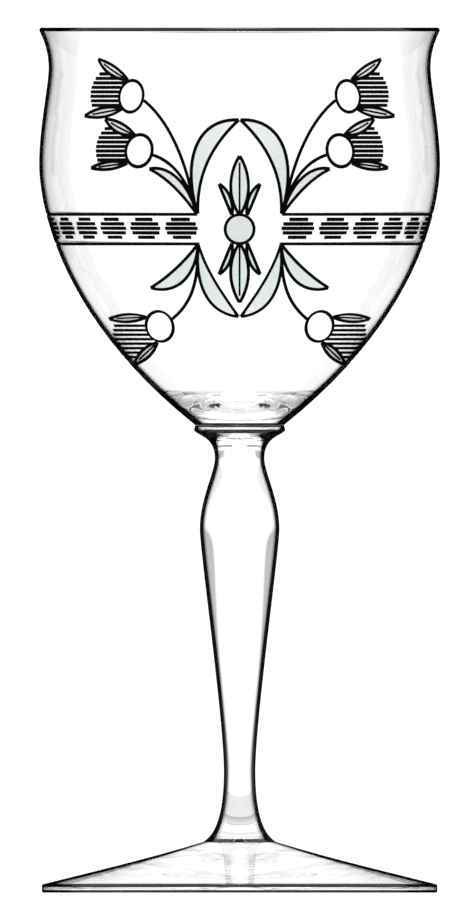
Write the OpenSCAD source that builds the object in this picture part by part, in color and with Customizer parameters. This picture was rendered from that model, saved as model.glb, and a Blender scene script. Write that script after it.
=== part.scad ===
// Stemmed water goblet in clear glass.
// Four glass pieces stand on one axis and meet face to face: a round foot, a
// baluster stem, a thin collar disc and a bowl with a flared lip.
// The axis is Z, the goblet stands on Z = 0, and all lengths are millimetres.

/* [Foot] */
// Diameter of the foot
foot_d = 81.4; // [60:0.2:100]
// Thickness of the foot at its edge
foot_edge_h = 1.7; // [1:0.1:4]
// Height of the seat for the stem above the table
foot_h = 10.5; // [8:0.1:16]
// Slope of the foot beside the stem, in degrees
foot_inner_slope = 17; // [14:0.5:30]
// Slope of the foot beside its edge, in degrees
foot_outer_slope = 14; // [4:0.5:16]
// Rounding of the foot's edge, top and bottom
foot_edge_r = 0.4; // [0.1:0.05:0.8]
// Width of the flat ring that the goblet stands on
foot_ring_w = 4; // [2:0.5:10]
// Depth of the hollow under the foot, at its centre
foot_kick = 3; // [0.5:0.1:5]

/* [Stem] */
// Length of the stem
stem_h = 84.4; // [65:0.2:120]
// Diameter where the stem meets the foot
stem_base_d = 14.8; // [11:0.2:20]
// Diameter at the waist, the thinnest place
stem_waist_d = 6.5; // [5:0.1:10]
// Height of the waist above the foot
stem_waist_h = 14.5; // [10:0.5:24]
// Diameter at the bulge, the widest place
stem_bulge_d = 16.4; // [12:0.2:24]
// Distance of the bulge below the top of the stem
stem_bulge_drop = 20.1; // [14:0.1:30]
// Diameter at the neck, between the bulge and the collar
stem_neck_d = 10.2; // [8:0.2:11.6]
// Distance of the neck below the top of the stem
stem_neck_drop = 5.5; // [4:0.1:9]
// Slope of the flare where the stem meets the foot, in degrees
stem_base_slope = 45; // [30:1:70]
// Slope of the flare where the stem meets the collar, in degrees
stem_top_slope = 55; // [30:1:70]

/* [Collar] */
// Thickness of the collar disc
collar_h = 1.3; // [1:0.1:4]
// How much further out the collar's lower edge stands than its upper edge
collar_flare = 0.3; // [0:0.05:1]
// How far the collar's lower edge stands out past the stem
collar_overhang = 0.3; // [0.2:0.05:1]
// Rounding of the collar's two edges
collar_edge_r = 0.2; // [0.05:0.05:0.4]

/* [Bowl] */
// Height of the bowl
bowl_h = 81.8; // [70:0.2:110]
// Diameter of the flat base, where the bowl meets the collar
bowl_base_d = 18.3; // [14:0.1:26]
// Outside diameter at the belly, the widest place below the lip
bowl_belly_d = 82.5; // [72:0.5:100]
// Distance of the belly below the rim
bowl_belly_drop = 28.1; // [20:0.1:40]
// Outside diameter at the waist, just below the lip
bowl_waist_d = 78.6; // [70:0.2:82]
// Distance of the waist below the rim
bowl_waist_drop = 8.3; // [5:0.1:14]
// Outside diameter of the rim
bowl_rim_d = 82.4; // [79:0.1:100]
// How far the lip leans out from upright at the rim, in degrees
lip_lean = 26; // [5:1:40]
// Slope of the bowl where it meets the collar, in degrees
bowl_base_slope = 38.5; // [34:0.5:50]
// Wall from the lip down to the belly, which also sets the round of the rim
lip_wall = 1.1; // [0.8:0.1:2.4]
// Wall at the bottom of the flank, where the inside starts to round off
flank_wall = 1; // [0.8:0.1:3]
// Thickness of glass over the collar, on the axis
bowl_floor = 4; // [2:0.5:7]

/* [Curves] */
// Foot: how full the slope is beside the stem, as a share of its run
foot_inner_full = 0.31; // [0.1:0.01:0.45]
// Foot: how full the slope is beside the edge, as a share of its run
foot_outer_full = 0.44; // [0.1:0.01:0.45]
// Stem: how full the flare is at the foot, as a share of the rise to the waist
stem_base_full = 0.07; // [0.02:0.01:0.3]
// Stem: how full the waist is below, as a share of the rise from the foot
waist_low_full = 0.86; // [0.5:0.01:0.95]
// Stem: how full the waist is above, as a share of the rise to the bulge
waist_high_full = 0.21; // [0.05:0.01:0.5]
// Stem: how full the bulge is below, as a share of the rise from the waist
bulge_low_full = 0.09; // [0.05:0.01:0.5]
// Stem: how full the bulge is above, as a share of the rise to the neck
bulge_high_full = 0.43; // [0.2:0.01:0.6]
// Stem: how full the neck is below, as a share of the rise from the bulge
neck_low_full = 0.2; // [0.05:0.01:0.5]
// Stem: how full the neck is above, as a share of the rise to the collar
neck_high_full = 0.78; // [0.3:0.01:0.9]
// Stem: how full the flare is at the collar, as a share of the rise from the neck
stem_top_full = 0.19; // [0.1:0.01:0.5]
// Bowl: how full the flank is at the collar, as a share of its run
flank_base_full = 0.94; // [0.5:0.01:0.98]
// Bowl: how full the belly is below, as a share of the flank's rise
belly_low_full = 0.1; // [0.05:0.01:0.4]
// Bowl: how full the belly is above, as a share of the rise to the waist
belly_high_full = 0.38; // [0.1:0.01:0.6]
// Bowl: how full the waist is below, as a share of the rise from the belly
bowl_waist_low_full = 0.18; // [0.05:0.01:0.5]
// Bowl: how full the waist is above, as a share of the rise to the rim
bowl_waist_high_full = 0.4; // [0.1:0.01:0.6]
// Bowl: how full the lip is below the rim, as a share of the rise from the waist
lip_full = 0.22; // [0.1:0.01:0.5]
// Bowl: share of the flank, from the collar up, where the inside leaves it
bottom_start = 0.1; // [0.06:0.01:0.25]
// Bowl: how full the rounded bottom is inside, as a share of its drop and its run
bottom_full = 0.6; // [0.3:0.01:0.8]

/* [Hidden] */

// Straight steps in one curve, in one rounded corner and around the axis
curve_steps = 24;
corner_steps = 6;
$fn = 180;

// Glass, as a pale tint that lets the pieces show through each other
glass_tint = [0.84, 0.9, 0.9, 0.55];

// Diameters that follow from the pieces that meet there
collar_d = bowl_base_d + 2 * collar_flare;
stem_top_d = collar_d - 2 * collar_overhang;

// Height of each piece's seat above the table
stem_z = foot_h;
collar_z = stem_z + stem_h;
bowl_z = collar_z + collar_h;

function unit(v) = v / norm(v);
function turned_left(v) = [-v.y, v.x];
function polar(angle) = [cos(angle), sin(angle)];
function reversed(points) = [for (i = [len(points) - 1 : -1 : 0]) points[i]];

// All points but the first, where the stretch before them ends
function onward(points) = [for (i = [1 : len(points) - 1]) points[i]];

// A cubic curve runs from p[0] to p[3], and p[1] and p[2] are its handles
function point_at(p, t) =
    pow(1 - t, 3) * p[0] + 3 * t * pow(1 - t, 2) * p[1]
    + 3 * t * t * (1 - t) * p[2] + pow(t, 3) * p[3];
function heading_at(p, t) =
    unit(pow(1 - t, 2) * (p[1] - p[0]) + 2 * t * (1 - t) * (p[2] - p[1])
         + t * t * (p[3] - p[2]));
function curve(p) = [for (i = [0 : curve_steps]) point_at(p, i / curve_steps)];

// A curve between two places where the outline runs straight up
function upright_curve(low, high, low_full, high_full) =
    let (rise = high.y - low.y)
    [low, low + [0, rise * low_full], high - [0, rise * high_full], high];

// The inner side of a wall whose outer side is a rising curve, from a share of it up
function inner_side(p, low_wall, high_wall, from = 0) =
    [for (i = [0 : curve_steps])
        let (share = i / curve_steps, t = from + (1 - from) * share)
        point_at(p, t)
        + turned_left(heading_at(p, t)) * (low_wall + (high_wall - low_wall) * share)];

// The points of an arc, from one angle through a sweep
function arc(centre, r, start, sweep, steps) =
    [for (i = [0 : steps]) centre + r * polar(start + sweep * i / steps)];

// The corner at b on the way from a to c, turning left and rounded to radius r
function corner(a, b, c, r) =
    let (u = unit(a - b), v = unit(c - b), half = acos(u * v) / 2,
         centre = b + unit(u + v) * r / sin(half),
         outward = b + u * r / tan(half) - centre)
    arc(centre, r, atan2(outward.y, outward.x), 180 - 2 * half, corner_steps);

// Foot: the slope from the stem's seat out to the edge
foot_r = foot_d / 2;
foot_seat = [stem_base_d / 2, foot_h];
foot_brink = [foot_r, foot_edge_h];
foot_run = foot_r - foot_seat.x;
foot_slope = curve([
    foot_seat,
    foot_seat + foot_run * foot_inner_full * [1, -tan(foot_inner_slope)],
    foot_brink + foot_run * foot_outer_full * [-1, tan(foot_outer_slope)],
    foot_brink,
]);

// Foot: the hollow underneath is the cap of a ball that ends at the standing ring
hollow_r = foot_r - foot_ring_w;
hollow_ball_r = (hollow_r * hollow_r + foot_kick * foot_kick) / (2 * foot_kick);
hollow_sweep = asin(hollow_r / hollow_ball_r);
hollow = arc([0, foot_kick - hollow_ball_r], hollow_ball_r, 90, -hollow_sweep, curve_steps);

module foot() {
    edge_r = min(foot_edge_r, foot_edge_h / 3);
    color(glass_tint)
    rotate_extrude()
    polygon(concat(
        hollow,
        corner([hollow_r, 0], [foot_r, 0], foot_brink, edge_r),
        corner([foot_r, 0], foot_brink, foot_slope[curve_steps - 1], edge_r),
        onward(reversed(foot_slope)),
        [[0, foot_h]]));
}

// Stem: the places where it meets the foot, turns and meets the collar
stem_base = [stem_base_d / 2, 0];
stem_waist = [stem_waist_d / 2, stem_waist_h];
stem_bulge = [stem_bulge_d / 2, stem_h - stem_bulge_drop];
stem_neck = [stem_neck_d / 2, stem_h - stem_neck_drop];
stem_top = [stem_top_d / 2, stem_h];

module stem() {
    base_flare = curve([
        stem_base,
        stem_base + stem_waist_h * stem_base_full * polar(180 - stem_base_slope),
        stem_waist - [0, stem_waist_h * waist_low_full],
        stem_waist,
    ]);
    top_flare = curve([
        stem_neck,
        stem_neck + [0, stem_neck_drop * neck_high_full],
        stem_top - stem_neck_drop * stem_top_full * polar(stem_top_slope),
        stem_top,
    ]);
    color(glass_tint)
    translate([0, 0, stem_z])
    rotate_extrude()
    polygon(concat(
        [[0, 0]],
        base_flare,
        onward(curve(upright_curve(stem_waist, stem_bulge, waist_high_full, bulge_low_full))),
        onward(curve(upright_curve(stem_bulge, stem_neck, bulge_high_full, neck_low_full))),
        onward(top_flare),
        [[0, stem_h]]));
}

// Collar: a thin disc whose edge stands further out at the bottom
module collar() {
    low = [collar_d / 2, 0];
    high = [bowl_base_d / 2, collar_h];
    color(glass_tint)
    translate([0, 0, collar_z])
    rotate_extrude()
    polygon(concat(
        [[0, 0]],
        corner([0, 0], low, high, collar_edge_r),
        corner(low, high, [0, collar_h], collar_edge_r),
        [[0, collar_h]]));
}

// Bowl: the places on its outside, from the collar up
bowl_base = [bowl_base_d / 2, 0];
belly = [bowl_belly_d / 2, bowl_h - bowl_belly_drop];
bowl_waist = [bowl_waist_d / 2, bowl_h - bowl_waist_drop];

// Bowl: the rim is a half round as thick as the wall, and the lip ends where it starts
rim_r = lip_wall / 2;
rim_centre = [bowl_rim_d / 2 - rim_r, bowl_h - rim_r];
lip = rim_centre + rim_r * polar(-lip_lean);
rim = arc(rim_centre, rim_r, -lip_lean, 180, 2 * corner_steps);

// Bowl: the outside in three curves, flank, shoulder and lip
flank_run = belly.x - bowl_base.x;
flank_curve = [
    bowl_base,
    bowl_base + flank_run * flank_base_full * [1, tan(bowl_base_slope)],
    belly - [0, belly.y * belly_low_full],
    belly,
];
shoulder_curve = upright_curve(belly, bowl_waist, belly_high_full, bowl_waist_low_full);
lip_curve = [
    bowl_waist,
    bowl_waist + [0, bowl_waist_drop * bowl_waist_high_full],
    lip - bowl_waist_drop * lip_full * polar(90 - lip_lean),
    lip,
];

// Bowl: the inside follows the outside, and its bottom rounds off to the axis
flank_inside = inner_side(flank_curve, flank_wall, lip_wall, bottom_start);
bottom_edge = flank_inside[0];
bottom_heading = -heading_at(flank_curve, bottom_start);
bottom_handle = bottom_edge
    + bottom_heading * bottom_full * (bowl_floor - bottom_edge.y) / bottom_heading.y;
bottom = curve([
    bottom_edge,
    bottom_handle,
    [bottom_handle.x * bottom_full, bowl_floor],
    [0, bowl_floor],
]);

module bowl() {
    color(glass_tint)
    translate([0, 0, bowl_z])
    rotate_extrude()
    polygon(concat(
        [[0, 0]],
        curve(flank_curve),
        onward(curve(shoulder_curve)),
        onward(curve(lip_curve)),
        onward(rim),
        onward(reversed(inner_side(lip_curve, lip_wall, lip_wall))),
        onward(reversed(inner_side(shoulder_curve, lip_wall, lip_wall))),
        onward(reversed(flank_inside)),
        onward(bottom)));
}

foot();
stem();
collar();
bowl();
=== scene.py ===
# %% [markdown]
# A cut-glass water goblet
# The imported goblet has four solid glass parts: a foot, a stem, a collar and a bowl. This lesson
# turns each of them again as fine glass, cuts the ornament into the bowl, and lights the whole the
# way a studio lights clear glass. Everything is in metres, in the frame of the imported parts.

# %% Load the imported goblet
import math

import bmesh
import bpy
from mathutils import Matrix, Vector
from mathutils.bvhtree import BVHTree
from mathutils.geometry import interpolate_bezier
from mathutils.interpolate import poly_3d_calc


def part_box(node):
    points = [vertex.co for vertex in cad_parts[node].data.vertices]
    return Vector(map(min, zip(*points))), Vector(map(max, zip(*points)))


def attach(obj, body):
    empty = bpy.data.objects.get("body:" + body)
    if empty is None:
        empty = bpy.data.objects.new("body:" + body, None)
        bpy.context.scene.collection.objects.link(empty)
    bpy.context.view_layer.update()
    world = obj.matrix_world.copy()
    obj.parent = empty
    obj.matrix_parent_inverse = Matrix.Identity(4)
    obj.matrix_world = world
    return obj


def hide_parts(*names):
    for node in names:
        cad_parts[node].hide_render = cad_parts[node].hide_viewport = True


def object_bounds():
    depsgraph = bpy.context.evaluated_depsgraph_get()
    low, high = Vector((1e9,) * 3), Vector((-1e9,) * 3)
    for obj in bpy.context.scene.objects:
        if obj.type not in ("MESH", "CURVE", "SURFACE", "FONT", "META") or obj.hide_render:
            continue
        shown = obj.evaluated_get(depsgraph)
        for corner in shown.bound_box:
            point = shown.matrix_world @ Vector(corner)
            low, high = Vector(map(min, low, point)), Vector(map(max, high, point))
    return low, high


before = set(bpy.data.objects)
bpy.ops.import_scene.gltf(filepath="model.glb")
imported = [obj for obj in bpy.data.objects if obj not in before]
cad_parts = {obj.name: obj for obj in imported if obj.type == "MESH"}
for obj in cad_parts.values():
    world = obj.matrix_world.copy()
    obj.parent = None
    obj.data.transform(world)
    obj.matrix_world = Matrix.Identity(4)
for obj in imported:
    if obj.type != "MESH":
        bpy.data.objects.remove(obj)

MM = 0.001
scene = bpy.context.scene
cad_box = [list(corner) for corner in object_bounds()]
goblet_height = cad_box[1][2]
print("parts:", sorted(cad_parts), "height in mm:", round(goblet_height / MM, 2))

# %% [markdown]
# The camera
# The goblet was drawn as a flat elevation, with no perspective at all. A parallel camera gives the
# same picture: it looks straight along +Y, and its scale follows from two rows of the drawing, the
# table line and the rim. A long lens would come close, but would still show some of the rim's oval.

# %% Camera
FRAME_WIDTH, FRAME_HEIGHT = 474, 916
TABLE_ROW, RIM_ROW, AXIS_COLUMN = 892.7, 27.5, 239.6
CAMERA_DISTANCE = 0.526

pixel = goblet_height / (TABLE_ROW - RIM_ROW)
camera_data = bpy.data.cameras.new("elevation_camera")
camera_data.type = "ORTHO"
camera_data.ortho_scale = FRAME_HEIGHT * pixel
camera = bpy.data.objects.new("elevation_camera", camera_data)
camera.location = (
    (FRAME_WIDTH / 2 - AXIS_COLUMN) * pixel,
    -CAMERA_DISTANCE,
    (TABLE_ROW - FRAME_HEIGHT / 2) * pixel,
)
camera.rotation_euler = (math.radians(90), 0, 0)
scene.collection.objects.link(camera)
scene.camera = camera
print("one pixel in mm:", round(pixel / MM, 4))

# %% [markdown]
# Small helpers for materials
# Every finish below is a Principled shader with a few nodes in front of it. Three short functions
# start a finish, add a node with its sockets set and join two nodes, so that a finish reads like a
# recipe.

# %% Node helpers
def principled(name, colour, roughness):
    material = bpy.data.materials.new(name)
    material.use_nodes = True
    surface = material.node_tree.nodes["Principled BSDF"]
    surface.inputs["Base Color"].default_value = (*colour, 1)
    surface.inputs["Roughness"].default_value = roughness
    return material, material.node_tree, surface


def add_node(tree, kind, **sockets):
    """A new shader node with some sockets set, where From_Min stands for the socket From Min."""
    node = tree.nodes.new("ShaderNode" + kind)
    for socket, value in sockets.items():
        node.inputs[socket.replace("_", " ")].default_value = value
    return node


def join(tree, source, output, target, socket):
    tree.links.new(source.outputs[output], target.inputs[socket])


print("helpers:", principled.__name__, add_node.__name__, join.__name__)

# %% [markdown]
# The floor
# The goblet stands on a plain pale disc. It is a hair below the foot, so that the two don't share one
# plane. Reflections don't see it: the glass would otherwise mirror the pale floor along its lower
# outlines, and they would vanish against the white behind.

# %% Floor
FLOOR_RADIUS, FLOOR_SIDES = 0.36, 96
FLOOR_GAP = 0.05 * MM
FLOOR_TONE, FLOOR_ROUGHNESS = 0.7, 0.6


def stage_object(name, shape, material):
    mesh = bpy.data.meshes.new(name)
    shape.to_mesh(mesh)
    shape.free()
    mesh.materials.append(material)
    thing = bpy.data.objects.new(name, mesh)
    thing.visible_glossy = False
    scene.collection.objects.link(thing)
    print("stage:", name)
    return thing


floor_paint = principled("floor_paint", (FLOOR_TONE, FLOOR_TONE, FLOOR_TONE), FLOOR_ROUGHNESS)[0]
disc = bmesh.new()
bmesh.ops.create_circle(disc, cap_ends=True, segments=FLOOR_SIDES, radius=FLOOR_RADIUS)
bmesh.ops.translate(disc, verts=disc.verts, vec=(0, 0, -FLOOR_GAP))
stage_object("floor", disc, floor_paint)

# %% [markdown]
# The bright sheet
# Clear glass has no colour of its own, so it is drawn by what stands behind and beside it. The studio
# way is the bright field: a lit white sheet behind the glass that fades out at both sides. The thick
# edges bend the grey sides into view and so get a soft shade. The bowl's thin wall bends the light
# little, so the sheet is narrow there; the solid stem bends it much, so the sheet grows wider lower
# down. It is a child of the camera, because the photographer carries it round the goblet for every
# other view.

# %% Bright sheet
SHEET_WIDTH, SHEET_HEIGHT = 0.9, 0.34
SHEET_BEHIND, SHEET_DROP = 0.175, 0.02
GLOW, SHADE = 1.2, 0.5
FADE_START = 0.085
BOWL_LEVEL, BOWL_REACH = 0.010, 0.110
STEM_LEVEL, STEM_REACH = -0.030, 0.400


def add_rectangle(shape, width, height, middle):
    corners = bmesh.ops.create_grid(shape, x_segments=1, y_segments=1, size=0.5)["verts"]
    bmesh.ops.scale(shape, verts=corners, vec=(width, height, 1))
    bmesh.ops.translate(shape, verts=corners, vec=middle)


sheet_paint, tree, surface = principled("lit_sheet", (0, 0, 0), 1)
surface.inputs["Specular IOR Level"].default_value = 0
surface.inputs["Emission Color"].default_value = (1, 1, 1, 1)
place = add_node(tree, "TexCoord")
axes = add_node(tree, "SeparateXYZ")
aside = add_node(tree, "Math")
aside.operation = "ABSOLUTE"
reach = add_node(
    tree, "MapRange", From_Min=BOWL_LEVEL, From_Max=STEM_LEVEL, To_Min=BOWL_REACH, To_Max=STEM_REACH
)
fade = add_node(tree, "MapRange", From_Min=FADE_START, To_Min=GLOW, To_Max=SHADE)
fade.interpolation_type = "SMOOTHSTEP"
join(tree, place, "Object", axes, "Vector")
join(tree, axes, "X", aside, 0)
join(tree, axes, "Y", reach, "Value")
join(tree, aside, "Value", fade, "Value")
join(tree, reach, "Result", fade, "From Max")
join(tree, fade, "Result", surface, "Emission Strength")

sheet_shape = bmesh.new()
sheet_middle = (0, -SHEET_DROP, -CAMERA_DISTANCE - SHEET_BEHIND)
add_rectangle(sheet_shape, SHEET_WIDTH, SHEET_HEIGHT, sheet_middle)
sheet = stage_object("bright_sheet", sheet_shape, sheet_paint)
sheet.parent = camera

# %% [markdown]
# The black card
# Glass that is seen edge on mirrors what lies behind it, and a white room would wash its outline out.
# So a wide black card stands far behind the sheet. It has a gap in its middle, a little above eye
# level: the sloping foot mirrors what is there, and so the foot stays bright. Only reflections see
# the card: the camera, the light and the glass that is looked through do not.

# %% Black card
CARD_BEHIND, CARD_SIDE, CARD_FOOT, CARD_TOP = 3, 6, -5, 3
GAP_SIDE, GAP_FOOT = 0.35, 0.65

card_paint, _, surface = principled("black_card", (0, 0, 0), 1)
surface.inputs["Specular IOR Level"].default_value = 0
card_shape = bmesh.new()
for left, right, top in [
    (-CARD_SIDE, -GAP_SIDE, CARD_TOP),
    (-GAP_SIDE, GAP_SIDE, GAP_FOOT),
    (GAP_SIDE, CARD_SIDE, CARD_TOP),
]:
    middle = ((left + right) / 2, (top + CARD_FOOT) / 2, -CAMERA_DISTANCE - CARD_BEHIND)
    add_rectangle(card_shape, right - left, top - CARD_FOOT, middle)
card = stage_object("black_card", card_shape, card_paint)
card.parent = camera
card.visible_glossy = True
card.visible_camera = False
card.visible_diffuse = False
card.visible_transmission = False
card.visible_shadow = False

# %% [markdown]
# The light
# The room is a soft white dome, a little greyer along the horizon, which shades the curves of the
# glass softly. One round softbox overhead adds a highlight. Light runs up and down inside the solid
# stem, so the ray limits are set high.

# %% Light
HORIZON_TONES = [(0.38, 0.8), (0.44, 0.65), (0.62, 0.65), (0.70, 1.0)]
SOFTBOX_WIDTH, SOFTBOX_HEIGHT, SOFTBOX_WATTS = 0.5, 1.5, 6
RAY_LIMIT, GLOSS_LIMIT = 32, 24

world = bpy.data.worlds.new("soft_dome")
world.use_nodes = True
air = world.node_tree
around = add_node(air, "TexCoord")
axes = add_node(air, "SeparateXYZ")
upward = add_node(air, "MapRange", From_Min=-1)
tones = add_node(air, "ValToRGB")
stops = tones.color_ramp.elements
for at, tone in HORIZON_TONES:
    stops.new(at).color = (tone, tone, tone, 1)
stops.remove(stops[0])
stops.remove(stops[len(stops) - 1])
join(air, around, "Generated", axes, "Vector")
join(air, axes, "Z", upward, "Value")
join(air, upward, "Result", tones, "Fac")
join(air, tones, "Color", air.nodes["Background"], "Color")
scene.world = world

softbox_data = bpy.data.lights.new("softbox", "AREA")
softbox_data.shape = "DISK"
softbox_data.size = SOFTBOX_WIDTH
softbox_data.energy = SOFTBOX_WATTS
softbox = bpy.data.objects.new("softbox", softbox_data)
softbox.location = (0, 0, SOFTBOX_HEIGHT)
scene.collection.objects.link(softbox)
scene.view_settings.view_transform = "Standard"
scene.cycles.max_bounces = RAY_LIMIT
scene.cycles.glossy_bounces = GLOSS_LIMIT
scene.cycles.transmission_bounces = RAY_LIMIT
print("light:", world.name, softbox.name)

# %% [markdown]
# Grain
# No worked surface is perfectly even. Three short functions make a noise in the object's own
# coordinates, let a socket follow it between two values, and raise it as a fine relief. Object
# coordinates hold the grain fast in the glass, from whatever side it is seen. A painted texture would
# need the surface unfolded first, and would look coarse close up.

# %% Grain
NOISE_LOW, NOISE_HIGH = 0.3, 0.7


def noise(tree, scale, detail):
    place = add_node(tree, "TexCoord")
    grain = add_node(tree, "TexNoise", Scale=scale, Detail=detail)
    join(tree, place, "Object", grain, "Vector")
    return grain


def vary(tree, grain, lowest, highest, surface, socket):
    """A socket that follows a noise between two values."""
    span = add_node(tree, "MapRange", From_Min=NOISE_LOW, From_Max=NOISE_HIGH)
    span.inputs["To Min"].default_value = lowest
    span.inputs["To Max"].default_value = highest
    join(tree, grain, "Fac", span, "Value")
    join(tree, span, "Result", surface, socket)


def bump(tree, grain, strength, depth, surface):
    relief = add_node(tree, "Bump", Strength=strength, Distance=depth)
    join(tree, grain, "Fac", relief, "Height")
    join(tree, relief, "Normal", surface, "Normal")


print("helpers:", noise.__name__, vary.__name__, bump.__name__)

# %% [markdown]
# Painted dark outlines
# The glass's base colour is painted near black in a narrow band inside its outline: painted shade
# for the dark edge that glass shows where it turns away from the eye. On a round body the distance
# from the outline is half the radius times the square of the cosine between surface and sight. Layer
# Weight gives the cosine and Object coordinates give the radius, so the painted outline keeps an even
# width. Light that is already in the glass is left alone, which keeps the glass bright.

# %% Painted dark outlines
# near-black base colour, painted as shade on the glass near its outlines and on its edges
PAINTED_SHADE_COLOUR = (0.0002, 0.0002, 0.0002, 1)
OUTLINE_SOFTNESS = 0.25
PLAIN_BLEND = 0.5
HALF_ACROSS = (0.5, 0.5, 0)


def calculation(tree, kind, operation, *sources):
    """A math node whose inputs are numbers, vectors or outputs of other nodes."""
    node = add_node(tree, kind)
    node.operation = operation
    for number, source in enumerate(sources):
        if isinstance(source, bpy.types.NodeSocket):
            tree.links.new(source, node.inputs[number])
        else:
            node.inputs[number].default_value = source
    return node


def inward_distance(tree):
    """How far a point lies inside the outline, in metres."""
    glance = add_node(tree, "LayerWeight", Blend=PLAIN_BLEND)
    cosine = calculation(tree, "Math", "SUBTRACT", 1.0, glance.outputs["Facing"]).outputs["Value"]
    square = calculation(tree, "Math", "MULTIPLY", cosine, cosine).outputs["Value"]
    place = add_node(tree, "TexCoord").outputs["Object"]
    level = calculation(tree, "VectorMath", "MULTIPLY", place, HALF_ACROSS).outputs["Vector"]
    half_radius = calculation(tree, "VectorMath", "LENGTH", level).outputs["Value"]
    return calculation(tree, "Math", "MULTIPLY", square, half_radius)


def paint_outline_shade(tree, outline, surface):
    """A base colour painted dark as shade up to a distance inside the outline, for light from outside.
    """
    edge = add_node(tree, "MapRange")
    edge.inputs["From Min"].default_value = outline * (1 - OUTLINE_SOFTNESS)
    edge.inputs["From Max"].default_value = outline * (1 + OUTLINE_SOFTNESS)
    join(tree, inward_distance(tree), "Value", edge, "Value")
    inside = add_node(tree, "NewGeometry").outputs["Backfacing"]
    clear = calculation(tree, "Math", "MAXIMUM", edge.outputs["Result"], inside)
    tint = add_node(tree, "ValToRGB")
    tint.color_ramp.elements[0].color = PAINTED_SHADE_COLOUR
    tint.color_ramp.elements[1].color = (1, 1, 1, 1)
    join(tree, clear, "Value", tint, "Fac")
    join(tree, tint, "Color", surface, "Base Color")


print("an outline fades from", 1 - OUTLINE_SOFTNESS, "to", 1 + OUTLINE_SOFTNESS, "times its width")

# %% [markdown]
# Clear crystal
# The goblet is colourless crystal: smooth, bright and faintly uneven, because each part was worked
# hot by hand. A Principled shader with full transmission makes the glass. A wide, very weak noise
# moves the normals a little, and a fine one changes the gloss, so the surface isn't a perfect one.
# The foot is so flat that its cosine stays small all over, and so it gets a smaller painted outline.
# The rims and edges get a glass whose outline is as wide as the goblet, so they are painted near
# black all over, as painted shade. The inside of the bowl has no outline of its own and stays clear.

# %% Clear crystal
IOR = 1.52
SMEAR_SCALE, SMEAR_DETAIL, SMEAR_ROUGHNESS = 700, 3, 0.02
WAVE_SCALE, WAVE_DETAIL, WAVE_HEIGHT = 55, 1, 0.2 * MM
WAVINESS, FOOT_WAVINESS = 0.03, 0.004
# widths of the painted dark outline on the bowl and stem, and on the foot
OUTLINE, FOOT_OUTLINE = 0.95 * MM, 0.15 * MM


def crystal(name, outline, waviness):
    material, tree, surface = principled(name, (1, 1, 1), 0)
    surface.inputs["Transmission Weight"].default_value = 1
    surface.inputs["IOR"].default_value = IOR
    vary(tree, noise(tree, SMEAR_SCALE, SMEAR_DETAIL), 0, SMEAR_ROUGHNESS, surface, "Roughness")
    bump(tree, noise(tree, WAVE_SCALE, WAVE_DETAIL), waviness, WAVE_HEIGHT, surface)
    if outline:
        paint_outline_shade(tree, outline, surface)
    print("crystal:", name)
    return material


bowl_crystal = crystal("bowl_crystal", OUTLINE, WAVINESS)
stem_crystal = crystal("stem_crystal", OUTLINE, WAVINESS)
foot_crystal = crystal("foot_crystal", FOOT_OUTLINE, FOOT_WAVINESS)
# painted shade: an outline as wide as the goblet paints this glass near black all over, seen from
# outside
edge_painted_shade = crystal("edge_painted_shade", goblet_height, WAVINESS)
inner_crystal = crystal("inner_crystal", 0, WAVINESS)

# %% [markdown]
# The joints
# Foot, stem, collar and bowl are fused while hot, so light passes from one to the next as if there
# were no surface. The four parts stay separate pieces here, each with a flat end where it joins its
# neighbour. These ends get a glass that bends nothing, with an index of 1.

# %% Fused joints
LEVEL = 0.001 * MM

fused_joint, _, surface = principled("fused_joint", (1, 1, 1), 0)
surface.inputs["Transmission Weight"].default_value = 1
surface.inputs["IOR"].default_value = 1
surface.inputs["Specular IOR Level"].default_value = 0

joints = {}
for lower, upper in [("foot", "stem"), ("stem", "collar"), ("collar", "bowl")]:
    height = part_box(upper)[0].z
    radii = []
    for part in (lower, upper):
        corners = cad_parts[part].data.vertices
        radii.append(max(v.co.xy.length for v in corners if abs(v.co.z - height) < LEVEL))
    joints[upper] = (height, min(radii))
    in_mm = [round(n / MM, 2) for n in joints[upper]]
    print("joint under the", upper, "height and radius in mm:", in_mm)

# %% [markdown]
# Turning the glass
# Every part of the goblet is round. The imported meshes carry the exact half section on the plane
# y = 0, so a merged copy is stripped down to that line, closed to the axis, and spun round. That keeps
# the shape of the imported part and gives a much finer surface. Before the spin, planes cut the line at
# the rim of a joint and where a band of painted shade starts or stops, so that these get faces of
# their own.

# %% Turning
WELD = 0.0002 * MM
TURNING_STEPS = 192


def half_section(node):
    line = bmesh.new()
    line.from_mesh(node.data)
    bmesh.ops.remove_doubles(line, verts=line.verts, dist=WELD)
    aside = [v for v in line.verts if abs(v.co.y) > WELD or v.co.x < -WELD]
    bmesh.ops.delete(line, geom=aside, context="VERTS")
    for end in [v for v in line.verts if len(v.link_edges) == 1 and v.co.x > WELD]:
        centre = bmesh.ops.extrude_vert_indiv(line, verts=[end])["verts"][0]
        centre.co.x = 0
    return line


def split(line, place, direction):
    bmesh.ops.bisect_plane(line, geom=line.verts[:] + line.edges[:], plane_co=place, plane_no=direction)


def turned(line, joint_radii, edges):
    for radius in joint_radii:
        split(line, (radius, 0, 0), (1, 0, 0))
    for height in [h for edge in edges for h in edge]:
        split(line, (0, 0, height), (0, 0, 1))
    bmesh.ops.spin(
        line, geom=line.verts[:] + line.edges[:], cent=(0, 0, 0), axis=(0, 0, 1),
        angle=math.tau, steps=TURNING_STEPS, use_merge=True,
    )
    bmesh.ops.remove_doubles(line, verts=line.verts, dist=WELD)
    bmesh.ops.recalc_face_normals(line, faces=line.faces)
    return line


for part, node in sorted(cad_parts.items()):
    line = half_section(node)
    print("half section of the", part, "points:", len(line.verts))
    line.free()
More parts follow.
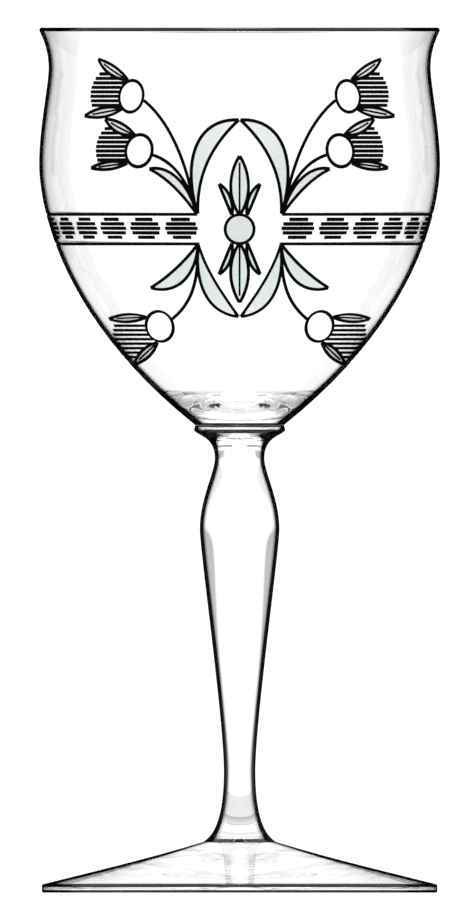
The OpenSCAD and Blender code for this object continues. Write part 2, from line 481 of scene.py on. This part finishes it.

# %% [markdown]
# Joints and edges of the glass
# The faces of a turned part are sorted into slots, one for each finish: glass, joints and edges painted
# dark as shade, and on the bowl also the inside. The ends at a joint are dished by a hair: two faces
# in one plane would pass a ray of light to and fro for ever, and look black. Smooth shading hides the
# steps of the spin, and only real creases stay sharp.

# %% Joints and edges of the glass
GLASS_SLOT, JOINT_SLOT, PAINTED_EDGE_SLOT, INNER_SLOT = range(4)
CREASE = math.radians(32)
JOINT_DISH = 0.05 * MM
EDGE_DEPTH = 1.0 * MM


def soften(shape):
    """Smooth shading, apart from the edges that are sharper than a crease."""
    for face in shape.faces:
        face.smooth = True
    for edge in shape.edges:
        edge.smooth = edge.calc_face_angle(0) < CREASE


def dish_joint(shape, height, radius):
    for face in shape.faces:
        flat = all(abs(v.co.z - height) < WELD for v in face.verts)
        if flat and all(v.co.xy.length < radius + WELD for v in face.verts):
            face.material_index = JOINT_SLOT
    middle = sum(v.co.z for v in shape.verts) / len(shape.verts)
    for vertex in shape.verts:
        if abs(vertex.co.z - height) < WELD and vertex.co.xy.length < WELD:
            vertex.co.z += math.copysign(JOINT_DISH, middle - height)


def paint_edge_shade(shape, lowest, highest):
    """The painted dark shade of an edge, on the faces between two heights that lie outermost there."""
    within_edge = [f for f in shape.faces if lowest < f.calc_center_median().z < highest]
    reach = max(v.co.xy.length for f in within_edge for v in f.verts) - EDGE_DEPTH
    for face in within_edge:
        if face.material_index == GLASS_SLOT and min(v.co.xy.length for v in face.verts) > reach:
            face.material_index = PAINTED_EDGE_SLOT


print("dish of a joint in mm:", round(JOINT_DISH / MM, 3))
print("crease in degrees:", round(math.degrees(CREASE)))

# %% [markdown]
# Foot, stem and collar
# The foot is a wide shallow cone, hollow underneath, so that it stands on a ring. The stem is a
# solid baluster that was drawn out while soft, and the collar is the thin disc that was pressed
# between stem and bowl. All three come from the same turning, each with its own finish. Glass bends
# the light so much at an edge or a seam that it looks dark there; here that dark is painted shade, a
# band of near-black glass: at the two edges of the foot, round the lower end of the stem, and at both
# edges of the collar. Clear glass passes nearly all the light on to the table, so the pieces cast no
# shadow.

# %% Foot, stem and collar
FOOT_EDGE_HEIGHT = 1.7 * MM
# widths of the bands painted dark as shade at the edges, and how far they reach over
EDGE_LINE, EDGE_OVER = 0.55 * MM, 0.2 * MM
COLLAR_LINE = 0.42 * MM


def glass_piece(node_name, finish, touching, edges):
    line = half_section(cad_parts[node_name])
    shape = turned(line, [joints[upper][1] for upper in touching], edges)
    for upper in touching:
        dish_joint(shape, *joints[upper])
    for edge in edges:
        paint_edge_shade(shape, *edge)
    soften(shape)
    mesh = bpy.data.meshes.new(node_name + "_glass")
    shape.to_mesh(mesh)
    for material in (finish, fused_joint, edge_painted_shade):
        mesh.materials.append(material)
    piece = bpy.data.objects.new(node_name + "_glass", mesh)
    scene.collection.objects.link(piece)
    piece.visible_shadow = False
    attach(piece, "root")
    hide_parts(node_name)
    open_edges = sum(not e.is_manifold for e in shape.edges)
    print(piece.name, "faces:", len(mesh.polygons), "open edges:", open_edges)
    return piece, shape


stem_foot, collar_foot, bowl_foot = [joints[upper][0] for upper in ("stem", "collar", "bowl")]
foot_edges = [
    (-EDGE_OVER, EDGE_LINE),
    (FOOT_EDGE_HEIGHT - EDGE_LINE, FOOT_EDGE_HEIGHT + EDGE_OVER),
    (stem_foot - EDGE_OVER, stem_foot),
]
stem_edges = [(stem_foot, stem_foot + EDGE_LINE), (collar_foot - COLLAR_LINE, collar_foot)]
collar_edges = [(collar_foot, collar_foot + COLLAR_LINE), (bowl_foot - COLLAR_LINE, bowl_foot)]
glass_piece("foot", foot_crystal, ["stem"], foot_edges)
glass_piece("stem", stem_crystal, ["stem", "collar"], stem_edges)
glass_piece("collar", stem_crystal, ["collar", "bowl"], collar_edges)

# %% [markdown]
# The bowl
# The bowl is a blown shell, about a millimetre thick, whose lip leans out. Its rim was cut and then
# rounded in the flame. The round gets the near-black edge glass, painted shade that draws it as a
# thin dark line, as on the other edges.
# The faces that look towards the axis are the inside, and get the clear crystal.

# %% Bowl
# height of the band painted dark as shade at the rim
RIM_LINE = 0.8 * MM

bowl_edges = [(bowl_foot, bowl_foot + COLLAR_LINE), (goblet_height - RIM_LINE, goblet_height)]
bowl, bowl_shape = glass_piece("bowl", bowl_crystal, ["bowl"], bowl_edges)
bowl.data.materials.append(inner_crystal)
for face in bowl.data.polygons:
    if face.material_index == GLASS_SLOT and face.normal.xy.dot(face.center.xy) < WELD:
        face.material_index = INNER_SLOT
bowl_tree = BVHTree.FromBMesh(bowl_shape)
slots = [face.material_index for face in bowl.data.polygons]
counts = [slots.count(slot) for slot in (GLASS_SLOT, JOINT_SLOT, PAINTED_EDGE_SLOT, INNER_SLOT)]
print("faces of the outside, joint, edges and inside:", counts)

# %% [markdown]
# Finding the bowl's surface
# The ornament is cut into the outside of the bowl with small wheels. It is laid out flat first, as a
# cutter draws it: x is the distance from the middle line and h the height above the middle of the
# band, both in millimetres, as seen from the front. On the bowl that becomes an angle round the axis
# and a height, and a ray towards the axis, a little off the seam of the spin, finds the glass there. A
# texture could show the ornament too, but real cuts catch the light and are part of the mesh.

# %% From the flat drawing to the bowl
BAND_MIDDLE = 136.5
WIDEST_ANGLE = math.radians(79)
OUTSIDE = 0.1
OFF_SEAM = 0.01
SOUNDING = Vector((math.cos(OFF_SEAM), math.sin(OFF_SEAM), 0))
bowl_shape.normal_update()
bowl_shape.faces.ensure_lookup_table()


def outer_radius(height):
    return OUTSIDE - bowl_tree.ray_cast(SOUNDING * OUTSIDE + Vector((0, 0, height)), -SOUNDING)[3]


def even_normal(place):
    """The direction out of the glass at a place, blended from the corners of the nearest face."""
    nearest, _, number, _ = bowl_tree.find_nearest(place)
    corners = bowl_shape.faces[number].verts
    shares = poly_3d_calc([v.co for v in corners], nearest)
    return sum((v.normal * share for v, share in zip(corners, shares)), Vector()).normalized()


def spot(x, h):
    """Angle from the front and height, in metres, of a point of the flat drawing."""
    height = (BAND_MIDDLE + h) * MM
    angle = math.asin(max(-1, min(1, x * MM / outer_radius(height))))
    return max(-WIDEST_ANGLE, min(WIDEST_ANGLE, angle)), height


def near_place(angle, height):
    radius = outer_radius(height)
    place = Vector((radius * math.sin(angle), -radius * math.cos(angle), height))
    return place, even_normal(place)


print("bowl radius at the band in mm:", round(outer_radius(BAND_MIDDLE * MM) / MM, 2))

# %% [markdown]
# Looking through the bowl
# The ornament comes twice, at the front and at the back, because each one reaches almost half round
# the bowl. The cutter sees the back through the glass and lays it where it lines up with the front.
# The same is done here: a line of sight is bent at each surface by the law of refraction, and the
# place where it comes to the far outside is the place for the same point of the back. Near the sides
# the line of sight stays in the wall, and there the last clear shift is kept.

# %% Through the glass
SKIN = 0.05 * MM
CLEAR_SIGHT = 0.975
SAMPLE_ANGLES = (18, 42, 66)


def inner_radius(height):
    return bowl_tree.ray_cast(Vector((0, 0, height)), SOUNDING)[3]


def bent(ray, normal, ratio):
    """A ray behind a surface, by the law of refraction."""
    if ray.dot(normal) > 0:
        normal = -normal
    straight = -ray.dot(normal)
    turn = math.sqrt(max(0, 1 - ratio * ratio * (1 - straight * straight)))
    return ray * ratio + normal * (ratio * straight - turn)


def far_place(angle, height):
    widest = math.asin(CLEAR_SIGHT * inner_radius(height) / outer_radius(height))
    seen = max(-widest, min(widest, angle))
    place = near_place(seen, height)[0]
    ray = Vector((0, 1, 0))
    for ratio in (1 / IOR, IOR, 1 / IOR):
        ray = bent(ray, even_normal(place), ratio)
        place = bowl_tree.ray_cast(place + ray * SKIN, ray)[0]
    place.rotate(Matrix.Rotation(seen - angle, 3, "Z"))
    return place, even_normal(place)


def places(spots, far):
    """The places and normals of a stroke, at the front or at the back of the bowl."""
    return [far_place(*one) if far else near_place(*one) for one in spots]


for degrees in SAMPLE_ANGLES:
    there = far_place(math.radians(degrees), BAND_MIDDLE * MM)[0]
    lies = 180 - math.degrees(math.atan2(there.x, -there.y))
    print("seen at", degrees, "degrees, the back lies", round(lies, 1), "from its own middle")

# %% [markdown]
# Leaves
# Each leaf or sepal is a blade between two curves that share a base and a tip. A curve has four
# points, as in any drawing program, and bows out three quarters as far as its two inner points. Only
# the left half is drawn; the right half is its mirror image.

# %% Leaves of the drawing
BOW_SHARE = 0.75


def blade(base, tip, edge, other_edge):
    return [(base, *edge, tip), (base, *other_edge, tip)]


def lens(base, tip, above, below):
    """A blade with two evenly bowed edges."""
    start, end = Vector(base), Vector(tip)
    third = (end - start) / 3
    across = Vector((-third.y, third.x)).normalized()
    edges = []
    for bow in (above / BOW_SHARE, -below / BOW_SHARE):
        edges.append((tuple(start + third + across * bow), tuple(end - third + across * bow)))
    return blade(base, tip, *edges)


SIDE_LEAVES = [
    blade((-8.6, 3.2), (-0.15, 22.5), ((-11.8, 13.0), (-9.5, 22.9)), ((-8.9, 10.5), (-6.2, 17.0))),
    blade((-8.85, 3.2), (-18.6, 12.4), ((-10.6, 9.5), (-14.5, 13.3)), ((-11.0, 6.2), (-14.4, 10.4))),
    blade((-8.6, -3.2), (-18.3, -12.1), ((-11.0, -6.3), (-14.2, -9.6)), ((-9.0, -9.0), (-12.3, -13.6))),
    blade((-8.5, -3.2), (-0.25, -18.0), ((-9.3, -11.5), (-6.5, -17.3)), ((-6.9, -8.6), (-3.8, -13.0))),
    blade((-1.6, 2.9), (-4.25, 9.3), ((-2.5, 5.0), (-3.4, 7.2)), ((-1.2, 5.0), (-2.0, 8.0))),
    blade((-1.6, -2.9), (-4.25, -9.3), ((-2.5, -5.0), (-3.4, -7.2)), ((-1.2, -5.0), (-2.0, -8.0))),
]
MIDDLE_LEAVES = [
    blade((0, 2.9), (0, 15.1), ((-2.3, 6.2), (-2.5, 11.0)), ((2.3, 6.2), (2.5, 11.0))),
    blade((0, -2.9), (0, -15.1), ((-2.3, -6.2), (-2.5, -11.0)), ((2.3, -6.2), (2.5, -11.0))),
]
print("leaves:", 2 * len(SIDE_LEAVES) + len(MIDDLE_LEAVES))

# %% [markdown]
# Flowers
# A flower is an oval cup with two sepals and a hatched crown, and a thin curved stalk leads to it. A
# cup is written as its middle, its two half widths and its tilt in degrees. A crown is written as the
# height of its highest bar, and the middle and the two half widths of its round outline.

# %% Flowers of the drawing
STALKS = [
    ((-9.0, 3.1), (-10.8, 14.0), (-14.5, 22.3), (-19.7, 26.5)),
    ((-9.0, 3.1), (-10.0, 9.2), (-13.5, 14.0), (-18.0, 15.3)),
    ((-8.6, -3.2), (-8.5, -10.5), (-9.6, -15.0), (-13.9, -18.5)),
]
FLOWERS = [
    {
        "cup": (-22.3, 27.35, 2.45, 3.29, -10),
        "sepals": [
            lens((-23.0, 30.7), (-29.1, 35.0), -0.65, -1.13),
            lens((-24.1, 24.8), (-31.9, 23.3), 0.9, 0.9),
        ],
        "crown": (31.95, -24.5, 27.4, 6.2, 6.4),
    },
    {
        "cup": (-20.7, 16.15, 2.68, 3.33, -12),
        "sepals": [
            lens((-21.6, 19.4), (-27.7, 22.7), -0.75, -1.2),
            lens((-23.1, 13.6), (-30.6, 12.6), 0.75, 0.75),
        ],
        "crown": (20.7, -23.3, 16.2, 6.3, 6.4),
    },
    {
        "cup": (-16.45, -20.0, 2.73, 3.15, 22),
        "sepals": [
            lens((-19.1, -18.1), (-26.9, -18.5), 0.75, 0.75),
            lens((-16.9, -23.3), (-21.7, -27.8), 0.88, 0.88),
        ],
        "crown": (-19.85, -20.0, -22.0, 6.1, 8.0),
    },
]
print("stalks:", 2 * len(STALKS), "flowers:", 2 * len(FLOWERS))

# %% [markdown]
# Hatching
# Each bar of a crown starts on the crown's round outline and runs across in small steps until it
# comes near the cup or a sepal. A point lies within an outline if a level line from it crosses the
# outline an odd number of times. The bars could be listed one by one, but a rule keeps them even.

# %% Hatching of the crowns
BAR_COUNT, BAR_PITCH, BAR_SPANS = 8, 0.922, 6
BAR_STEP, SHORTEST_BAR = 0.05, 0.6
BAR_CLEARANCE = 5 * BAR_STEP
CUP_POINTS, SEPAL_POINTS = 40, 12


def curve_points(curve, count):
    return [p.xy for p in interpolate_bezier(*(Vector((*p, 0)) for p in curve), count)]


def oval_points(x, h, across, up, tilt, count):
    lean = math.radians(tilt)
    points = []
    for step in range(count):
        turn = math.tau * step / count
        u, v = across * math.cos(turn), up * math.sin(turn)
        along = x + u * math.cos(lean) - v * math.sin(lean)
        height = h + u * math.sin(lean) + v * math.cos(lean)
        points.append((along, height))
    return points


def within(x, h, outline):
    crossings = 0
    for (x0, h0), (x1, h1) in zip(outline, outline[1:] + outline[:1]):
        if (h0 > h) != (h1 > h) and x < x0 + (h - h0) / (h1 - h0) * (x1 - x0):
            crossings += 1
    return crossings % 2 == 1


def crown_bars(flower):
    first, x, h, across, up = flower["crown"]
    outlines = [oval_points(*flower["cup"], CUP_POINTS)]
    for one, other in flower["sepals"]:
        there, back = curve_points(one, SEPAL_POINTS), curve_points(other, SEPAL_POINTS)[::-1]
        outlines.append([tuple(p) for p in there + back])
    bars = []
    for number in range(BAR_COUNT):
        level = first - number * BAR_PITCH
        start = x - across * math.sqrt(max(0, 1 - ((level - h) / up) ** 2))
        widest = outer_radius((BAND_MIDDLE + level) * MM) / MM * math.sin(WIDEST_ANGLE)
        start = max(start, -widest)
        end = start
        while end < x + across and not any(within(end + BAR_CLEARANCE, level, o) for o in outlines):
            end += BAR_STEP
        if end - start > SHORTEST_BAR:
            bars.append([(start + (end - start) * k / BAR_SPANS, level) for k in range(BAR_SPANS + 1)])
    return bars


print("crown bars:", [len(crown_bars(flower)) for flower in FLOWERS])

# %% [markdown]
# Strokes of the wheel
# Every line of the ornament is one stroke of a cutting wheel: a leaf edge, a stalk, a cup, a bar or
# a vein. A stroke holds its groove, which is a width and a depth in millimetres, whether it closes on
# itself, and its spots on the bowl. The strokes of one half are mirrored, and all of them come again
# at the back.

# %% Strokes of the flowers and leaves
LINE, BORDER = (0.81, 0.17), (0.79, 0.23)
BAR, VEIN = (0.75, 0.16), (0.52, 0.18)
LEAF_EDGE_POINTS, SEPAL_EDGE_POINTS, STALK_POINTS = 22, 14, 26
SEPAL_VEIN_POINTS, LEAF_VEIN_POINTS = 11, 9
ROSETTE_RADIUS, ROSETTE_POINTS = 2.95, 48
strokes = []


def add_stroke(groove, points, closed=False, mirrored=True):
    spots = [spot(*point) for point in points]
    strokes.append((groove, closed, spots))
    if mirrored:
        strokes.append((groove, closed, [(-angle, height) for angle, height in spots]))


sepals = [sepal for flower in FLOWERS for sepal in flower["sepals"]]
for edges in SIDE_LEAVES:
    for edge in edges:
        add_stroke(BORDER, curve_points(edge, LEAF_EDGE_POINTS))
for edges in sepals:
    for edge in edges:
        add_stroke(BORDER, curve_points(edge, SEPAL_EDGE_POINTS))
    one, other = [curve_points(edge, SEPAL_VEIN_POINTS) for edge in edges]
    vein = [(p + q) / 2 for p, q in zip(one, other)]
    add_stroke(VEIN, vein[1:-2])
for edges in MIDDLE_LEAVES:
    for edge in edges:
        add_stroke(BORDER, curve_points(edge, LEAF_EDGE_POINTS), mirrored=False)
    base, tip = Vector(edges[0][0]), Vector(edges[0][3])
    vein = [base.lerp(tip, k / LEAF_VEIN_POINTS) for k in range(LEAF_VEIN_POINTS)]
    add_stroke(VEIN, vein, mirrored=False)
for stalk in STALKS:
    add_stroke(LINE, curve_points(stalk, STALK_POINTS))
for flower in FLOWERS:
    add_stroke(LINE, oval_points(*flower["cup"], CUP_POINTS), closed=True)
    for bar in crown_bars(flower):
        add_stroke(BAR, bar)
rosette = oval_points(0, 0, ROSETTE_RADIUS, ROSETTE_RADIUS, 0, ROSETTE_POINTS)
add_stroke(BORDER, rosette, closed=True, mirrored=False)
print("strokes of one side:", len(strokes))

# %% [markdown]
# The band
# Two thin lines run round the bowl from the front ornament to the back one, and between them stands
# a row of hatched ovals. Here the angle round the axis is the natural measure: the ovals have an even
# pitch, and look narrower towards the sides only because the bowl turns away. Seen through the glass
# the row at the back is stretched towards the sides. So the ovals at the back are laid behind those
# of the front, and one more fills what is left at each side.

# %% Band of ovals
BAND_LINE, OVAL_BAR = (0.72, 0.16), (0.85, 0.18)
BAND_HALF, BAND_START, BAND_POINTS = 3.05, 8.6, 90
OVAL_FIRST, OVAL_PITCH = math.radians(18), math.radians(12)
OVAL_COUNT, BEHIND_COUNT, OVAL_RISE = 6, 5, 0.2
OVAL_HALF_WIDTH, OVAL_HALF_HEIGHT = 3.55, 2.25
OVAL_BARS, OVAL_BAR_POINTS = 5, 7
rings = []


def ring(groove, first, last, h, count):
    height = (BAND_MIDDLE + h) * MM
    return (groove, False, [(first + (last - first) * k / (count - 1), height) for k in range(count)])


def oval_bars(middle, rise):
    radius = outer_radius(BAND_MIDDLE * MM) / MM
    bars = []
    for number in range(OVAL_BARS):
        h = (number - (OVAL_BARS - 1) / 2) * BAR_PITCH
        half = OVAL_HALF_WIDTH * math.sqrt(1 - (h / OVAL_HALF_HEIGHT) ** 2) / radius
        bars.append(ring(OVAL_BAR, middle - half, middle + half, h + rise, OVAL_BAR_POINTS))
    return bars


front_ovals = [OVAL_FIRST + number * OVAL_PITCH for number in range(OVAL_COUNT)]
oval_height = (BAND_MIDDLE + OVAL_RISE) * MM
seen_behind = [far_place(middle, oval_height)[0] for middle in front_ovals[:BEHIND_COUNT]]
back_rise = sum(there.z for there in seen_behind) / BEHIND_COUNT / MM - BAND_MIDDLE
back_ovals = [math.atan2(there.x, -there.y) for there in seen_behind]
side_oval = (front_ovals[-1] + back_ovals[-1]) / 2
for side in (-1, 1):
    for middle in front_ovals + [side_oval]:
        rings += oval_bars(side * middle, OVAL_RISE)
    for middle in back_ovals:
        rings += oval_bars(side * middle, back_rise)
    end = spot(BAND_START, 0)[0]
    for h in (-BAND_HALF, BAND_HALF):
        rings.append(ring(BAND_LINE, side * end, side * (math.pi - end), h, BAND_POINTS))
in_degrees = [round(math.degrees(angle), 1) for angle in [side_oval] + back_ovals]
print("ovals at the side and back, in degrees:", in_degrees)
print("rise of the ovals in mm, front and back:", OVAL_RISE, round(back_rise, 2))
print("strokes that go round:", len(rings))

# %% [markdown]
# Wheels
# A stroke becomes a closed round bar along its spots: a curve with a bevel, made a mesh. The bar's
# middle is lifted off the glass, so that it leaves a groove of the stroke's width and a small depth.

# %% Wheels
WHEEL_ROUNDNESS = 2


def wheel(groove, closed, path):
    width, depth = groove
    radius = (width * width / 4 + depth * depth) / (2 * depth)
    curve = bpy.data.curves.new("wheel", "CURVE")
    curve.dimensions = "3D"
    curve.bevel_depth = radius * MM
    curve.bevel_resolution = WHEEL_ROUNDNESS
    curve.use_fill_caps = True
    spline = curve.splines.new("POLY")
    spline.points.add(len(path) - 1)
    spline.use_cyclic_u = closed
    for point, (place, normal) in zip(spline.points, path):
        point.co = (*(place + normal * (radius - depth) * MM), 1)
    carrier = bpy.data.objects.new("wheel", curve)
    tool = bmesh.new()
    tool.from_mesh(bpy.data.meshes.new_from_object(carrier))
    bpy.data.objects.remove(carrier)
    bmesh.ops.remove_doubles(tool, verts=tool.verts, dist=WELD)
    bmesh.ops.recalc_face_normals(tool, faces=tool.faces)
    return tool


wheels = [wheel(groove, closed, places(spots, False)) for groove, closed, spots in strokes + rings]
wheels += [wheel(groove, closed, places(spots, True)) for groove, closed, spots in strokes]
face_count = sum(len(tool.faces) for tool in wheels)
open_edges = sum(not e.is_manifold for tool in wheels for e in tool.edges)
print("wheels:", len(wheels), "faces:", face_count, "open edges:", open_edges)

# %% [markdown]
# Matte pockets
# Leaves, sepals and the rosette are ground matte inside their lines. Each is a shallow pocket: a flat
# sheet between the two edges, bridged and subdivided, laid on the bowl and given a thickness that
# reaches just under the surface.

# %% Matte pockets
POCKET_DEPTH, POCKET_ABOVE = 0.07, 0.12
POCKET_POINTS, POCKET_CUTS, ROSETTE_SIDES = 15, 2, 32


def blade_sheet(one, other, side):
    flat = bmesh.new()
    chains = []
    for edge in (one, other):
        points = curve_points(edge, POCKET_POINTS)[1:-1]
        row = [flat.verts.new((side * p.x, p.y, 0)) for p in points]
        chains += [flat.edges.new(pair) for pair in zip(row, row[1:])]
    ladder = bmesh.ops.bridge_loops(flat, edges=chains)
    rungs = [e for e in ladder["edges"] if e not in chains]
    bmesh.ops.subdivide_edges(flat, edges=rungs, cuts=POCKET_CUTS, use_grid_fill=True)
    return flat


def rosette_sheet():
    flat = bmesh.new()
    bmesh.ops.create_circle(
        flat, cap_ends=True, cap_tris=True, segments=ROSETTE_SIDES, radius=ROSETTE_RADIUS
    )
    spokes = [e for e in flat.edges if len(e.link_faces) == 2]
    bmesh.ops.subdivide_edges(flat, edges=spokes, cuts=POCKET_CUTS)
    return flat


def pocket(flat, far):
    laid = places([spot(v.co.x, v.co.y) for v in flat.verts], far)
    for vertex, (place, normal) in zip(flat.verts, laid):
        vertex.co = place + normal * POCKET_ABOVE * MM
    bmesh.ops.recalc_face_normals(flat, faces=flat.faces)
    flat.faces.ensure_lookup_table()
    if flat.faces[0].normal.dot(laid[0][1]) < 0:
        bmesh.ops.reverse_faces(flat, faces=flat.faces)
    bmesh.ops.solidify(flat, geom=flat.faces[:], thickness=(POCKET_DEPTH + POCKET_ABOVE) * MM)
    bmesh.ops.recalc_face_normals(flat, faces=flat.faces)
    return flat


pockets = []
for far in (False, True):
    for one, other in SIDE_LEAVES + sepals:
        pockets.append(pocket(blade_sheet(one, other, 1), far))
        pockets.append(pocket(blade_sheet(one, other, -1), far))
    for one, other in MIDDLE_LEAVES:
        pockets.append(pocket(blade_sheet(one, other, 1), far))
    pockets.append(pocket(rosette_sheet(), far))
print("pockets:", len(pockets), "faces:", sum(len(p.faces) for p in pockets))

# %% [markdown]
# Finishes of the cuts
# A pocket is ground with fine grit, so it is rough glass that scatters the light and looks pale grey.
# A line is cut deep with a narrow wheel and left rough. Its base colour is painted near black, as
# painted shade for how it looks against a bright ground. Where a line is seen from within the glass,
# its colour is painted pale grey instead, as painted light that comes through it from behind, so the
# far side of the bowl looks paler than the near one. Both finishes get a grain of grit in colour,
# gloss and height.

# %% Finishes of the cuts
DARK_TO, LIGHT_FROM, LIGHT_TO = 0.35, 0.65, 0.9
GRIT_DETAIL, RELIEF_DETAIL, RELIEF_HEIGHT = 3, 2, 0.02 * MM
MATTE_GRIT, MATTE_ROUGHNESS, MATTE_RELIEF = 2600, (0.42, 0.58), 0.2
MATTE_TONES = [(0.60, 0.69, 0.66), (0.68, 0.76, 0.73), (0.64, 0.725, 0.695)]
LINE_GRIT, LINE_ROUGHNESS, LINE_RELIEF = 3000, (0.40, 0.65), 0.3
# painted shade: both grit tones of a line are near black; painted light: pale grey from within the
# glass
LINE_PAINTED_TONES = [(0.0006, 0.0007, 0.0007), (0.003, 0.0034, 0.0034), (0.35, 0.36, 0.36)]
LINE_SHINE = 0.02


def shade(tree, grit, tones, surface):
    """A base colour that follows a noise between two tones, and a painted third tone seen from within.
    """
    dark, light, painted_from_within = tones
    inside = add_node(tree, "NewGeometry").outputs["Backfacing"]
    tone = calculation(tree, "Math", "MAXIMUM", grit.outputs["Fac"], inside)
    colours = add_node(tree, "ValToRGB")
    stops = colours.color_ramp.elements
    stops[0].position = DARK_TO
    stops[0].color = (*dark, 1)
    stops[1].color = (*painted_from_within, 1)
    for at in (LIGHT_FROM, LIGHT_TO):
        stops.new(at).color = (*light, 1)
    join(tree, tone, "Value", colours, "Fac")
    join(tree, colours, "Color", surface, "Base Color")


def ground_finish(name, tones, grain, roughness, relief):
    material, tree, surface = principled(name, tones[0], roughness[0])
    grit = noise(tree, grain, GRIT_DETAIL)
    shade(tree, grit, tones, surface)
    vary(tree, grit, *roughness, surface, "Roughness")
    bump(tree, noise(tree, 2 * grain, RELIEF_DETAIL), relief, RELIEF_HEIGHT, surface)
    return material, surface


matte_cut, surface = ground_finish("matte_cut", MATTE_TONES, MATTE_GRIT, MATTE_ROUGHNESS, MATTE_RELIEF)
surface.inputs["Transmission Weight"].default_value = 1
surface.inputs["IOR"].default_value = IOR
line_cut, surface = ground_finish("line_cut", LINE_PAINTED_TONES, LINE_GRIT, LINE_ROUGHNESS, LINE_RELIEF)
surface.inputs["Specular IOR Level"].default_value = LINE_SHINE
print("cut finishes:", matte_cut.name, line_cut.name)

# %% [markdown]
# Cutting
# A Boolean modifier takes the tools out of the glass and leaves their finish on the cut faces. Tools
# that cross each other go into different batches, because one batch must be a clean closed mesh. The
# pockets come first, so that the lines border them crisply.

# %% Cutting
def batches_of(tools):
    batches = []
    for tool in tools:
        tree = BVHTree.FromBMesh(tool)
        for batch in batches:
            if not any(tree.overlap(other) for other, _ in batch):
                break
        else:
            batch = []
            batches.append(batch)
        batch.append((tree, tool))
    return [[tool for _, tool in batch] for batch in batches]


def batch_object(tools, finish):
    whole = bmesh.new()
    for tool in tools:
        mesh = bpy.data.meshes.new("tool")
        tool.to_mesh(mesh)
        whole.from_mesh(mesh)
        bpy.data.meshes.remove(mesh)
    mesh = bpy.data.meshes.new("batch")
    whole.to_mesh(mesh)
    whole.free()
    mesh.materials.append(finish)
    batch = bpy.data.objects.new("batch", mesh)
    scene.collection.objects.link(batch)
    return batch


def cut(piece, batch):
    knife = piece.modifiers.new("cut", "BOOLEAN")
    knife.operation = "DIFFERENCE"
    knife.solver = "MANIFOLD"
    knife.material_mode = "TRANSFER"
    knife.object = batch
    ready = piece.evaluated_get(bpy.context.evaluated_depsgraph_get())
    mesh = bpy.data.meshes.new_from_object(ready)
    piece.modifiers.clear()
    piece.data = mesh
    bpy.data.objects.remove(batch)


for tools, finish in [(pockets, matte_cut), (wheels, line_cut)]:
    batches = batches_of(tools)
    for batch in batches:
        cut(bowl, batch_object(batch, finish))
    print(finish.name, "batches:", [len(b) for b in batches], "faces:", len(bowl.data.polygons))

# %% [markdown]
# Even glass between the cuts
# The cuts split the faces of the bowl, and Blender would now shade the split faces a little flatter
# than before. Glass shows that at once, because it bends what is behind it. So every corner of uncut
# glass above the solid bottom gets back the normal that the whole bowl had there.

# %% Even glass between the cuts
EVEN_FROM = 104 * MM

finished = bmesh.new()
finished.from_mesh(bowl.data)
soften(finished)
open_edges = sum(not e.is_manifold for e in finished.edges)
triangles = sum(len(f.verts) - 2 for f in finished.faces)
finished.to_mesh(bowl.data)
finished.free()
print("bowl triangles:", triangles, "open edges:", open_edges, [m.name for m in bowl.data.materials])

glass_slots = [bowl.data.materials.find(glass.name) for glass in (bowl_crystal, inner_crystal)]
even = {}
normals = [Vector()] * len(bowl.data.loops)
for face in bowl.data.polygons:
    if face.material_index in glass_slots and face.center.z > EVEN_FROM:
        for corner in face.loop_indices:
            vertex = bowl.data.loops[corner].vertex_index
            if vertex not in even:
                even[vertex] = even_normal(bowl.data.vertices[vertex].co)
            normals[corner] = even[vertex]
bowl.data.normals_split_custom_set(normals)
print("corners with an even normal:", sum(n.length > 0 for n in normals))
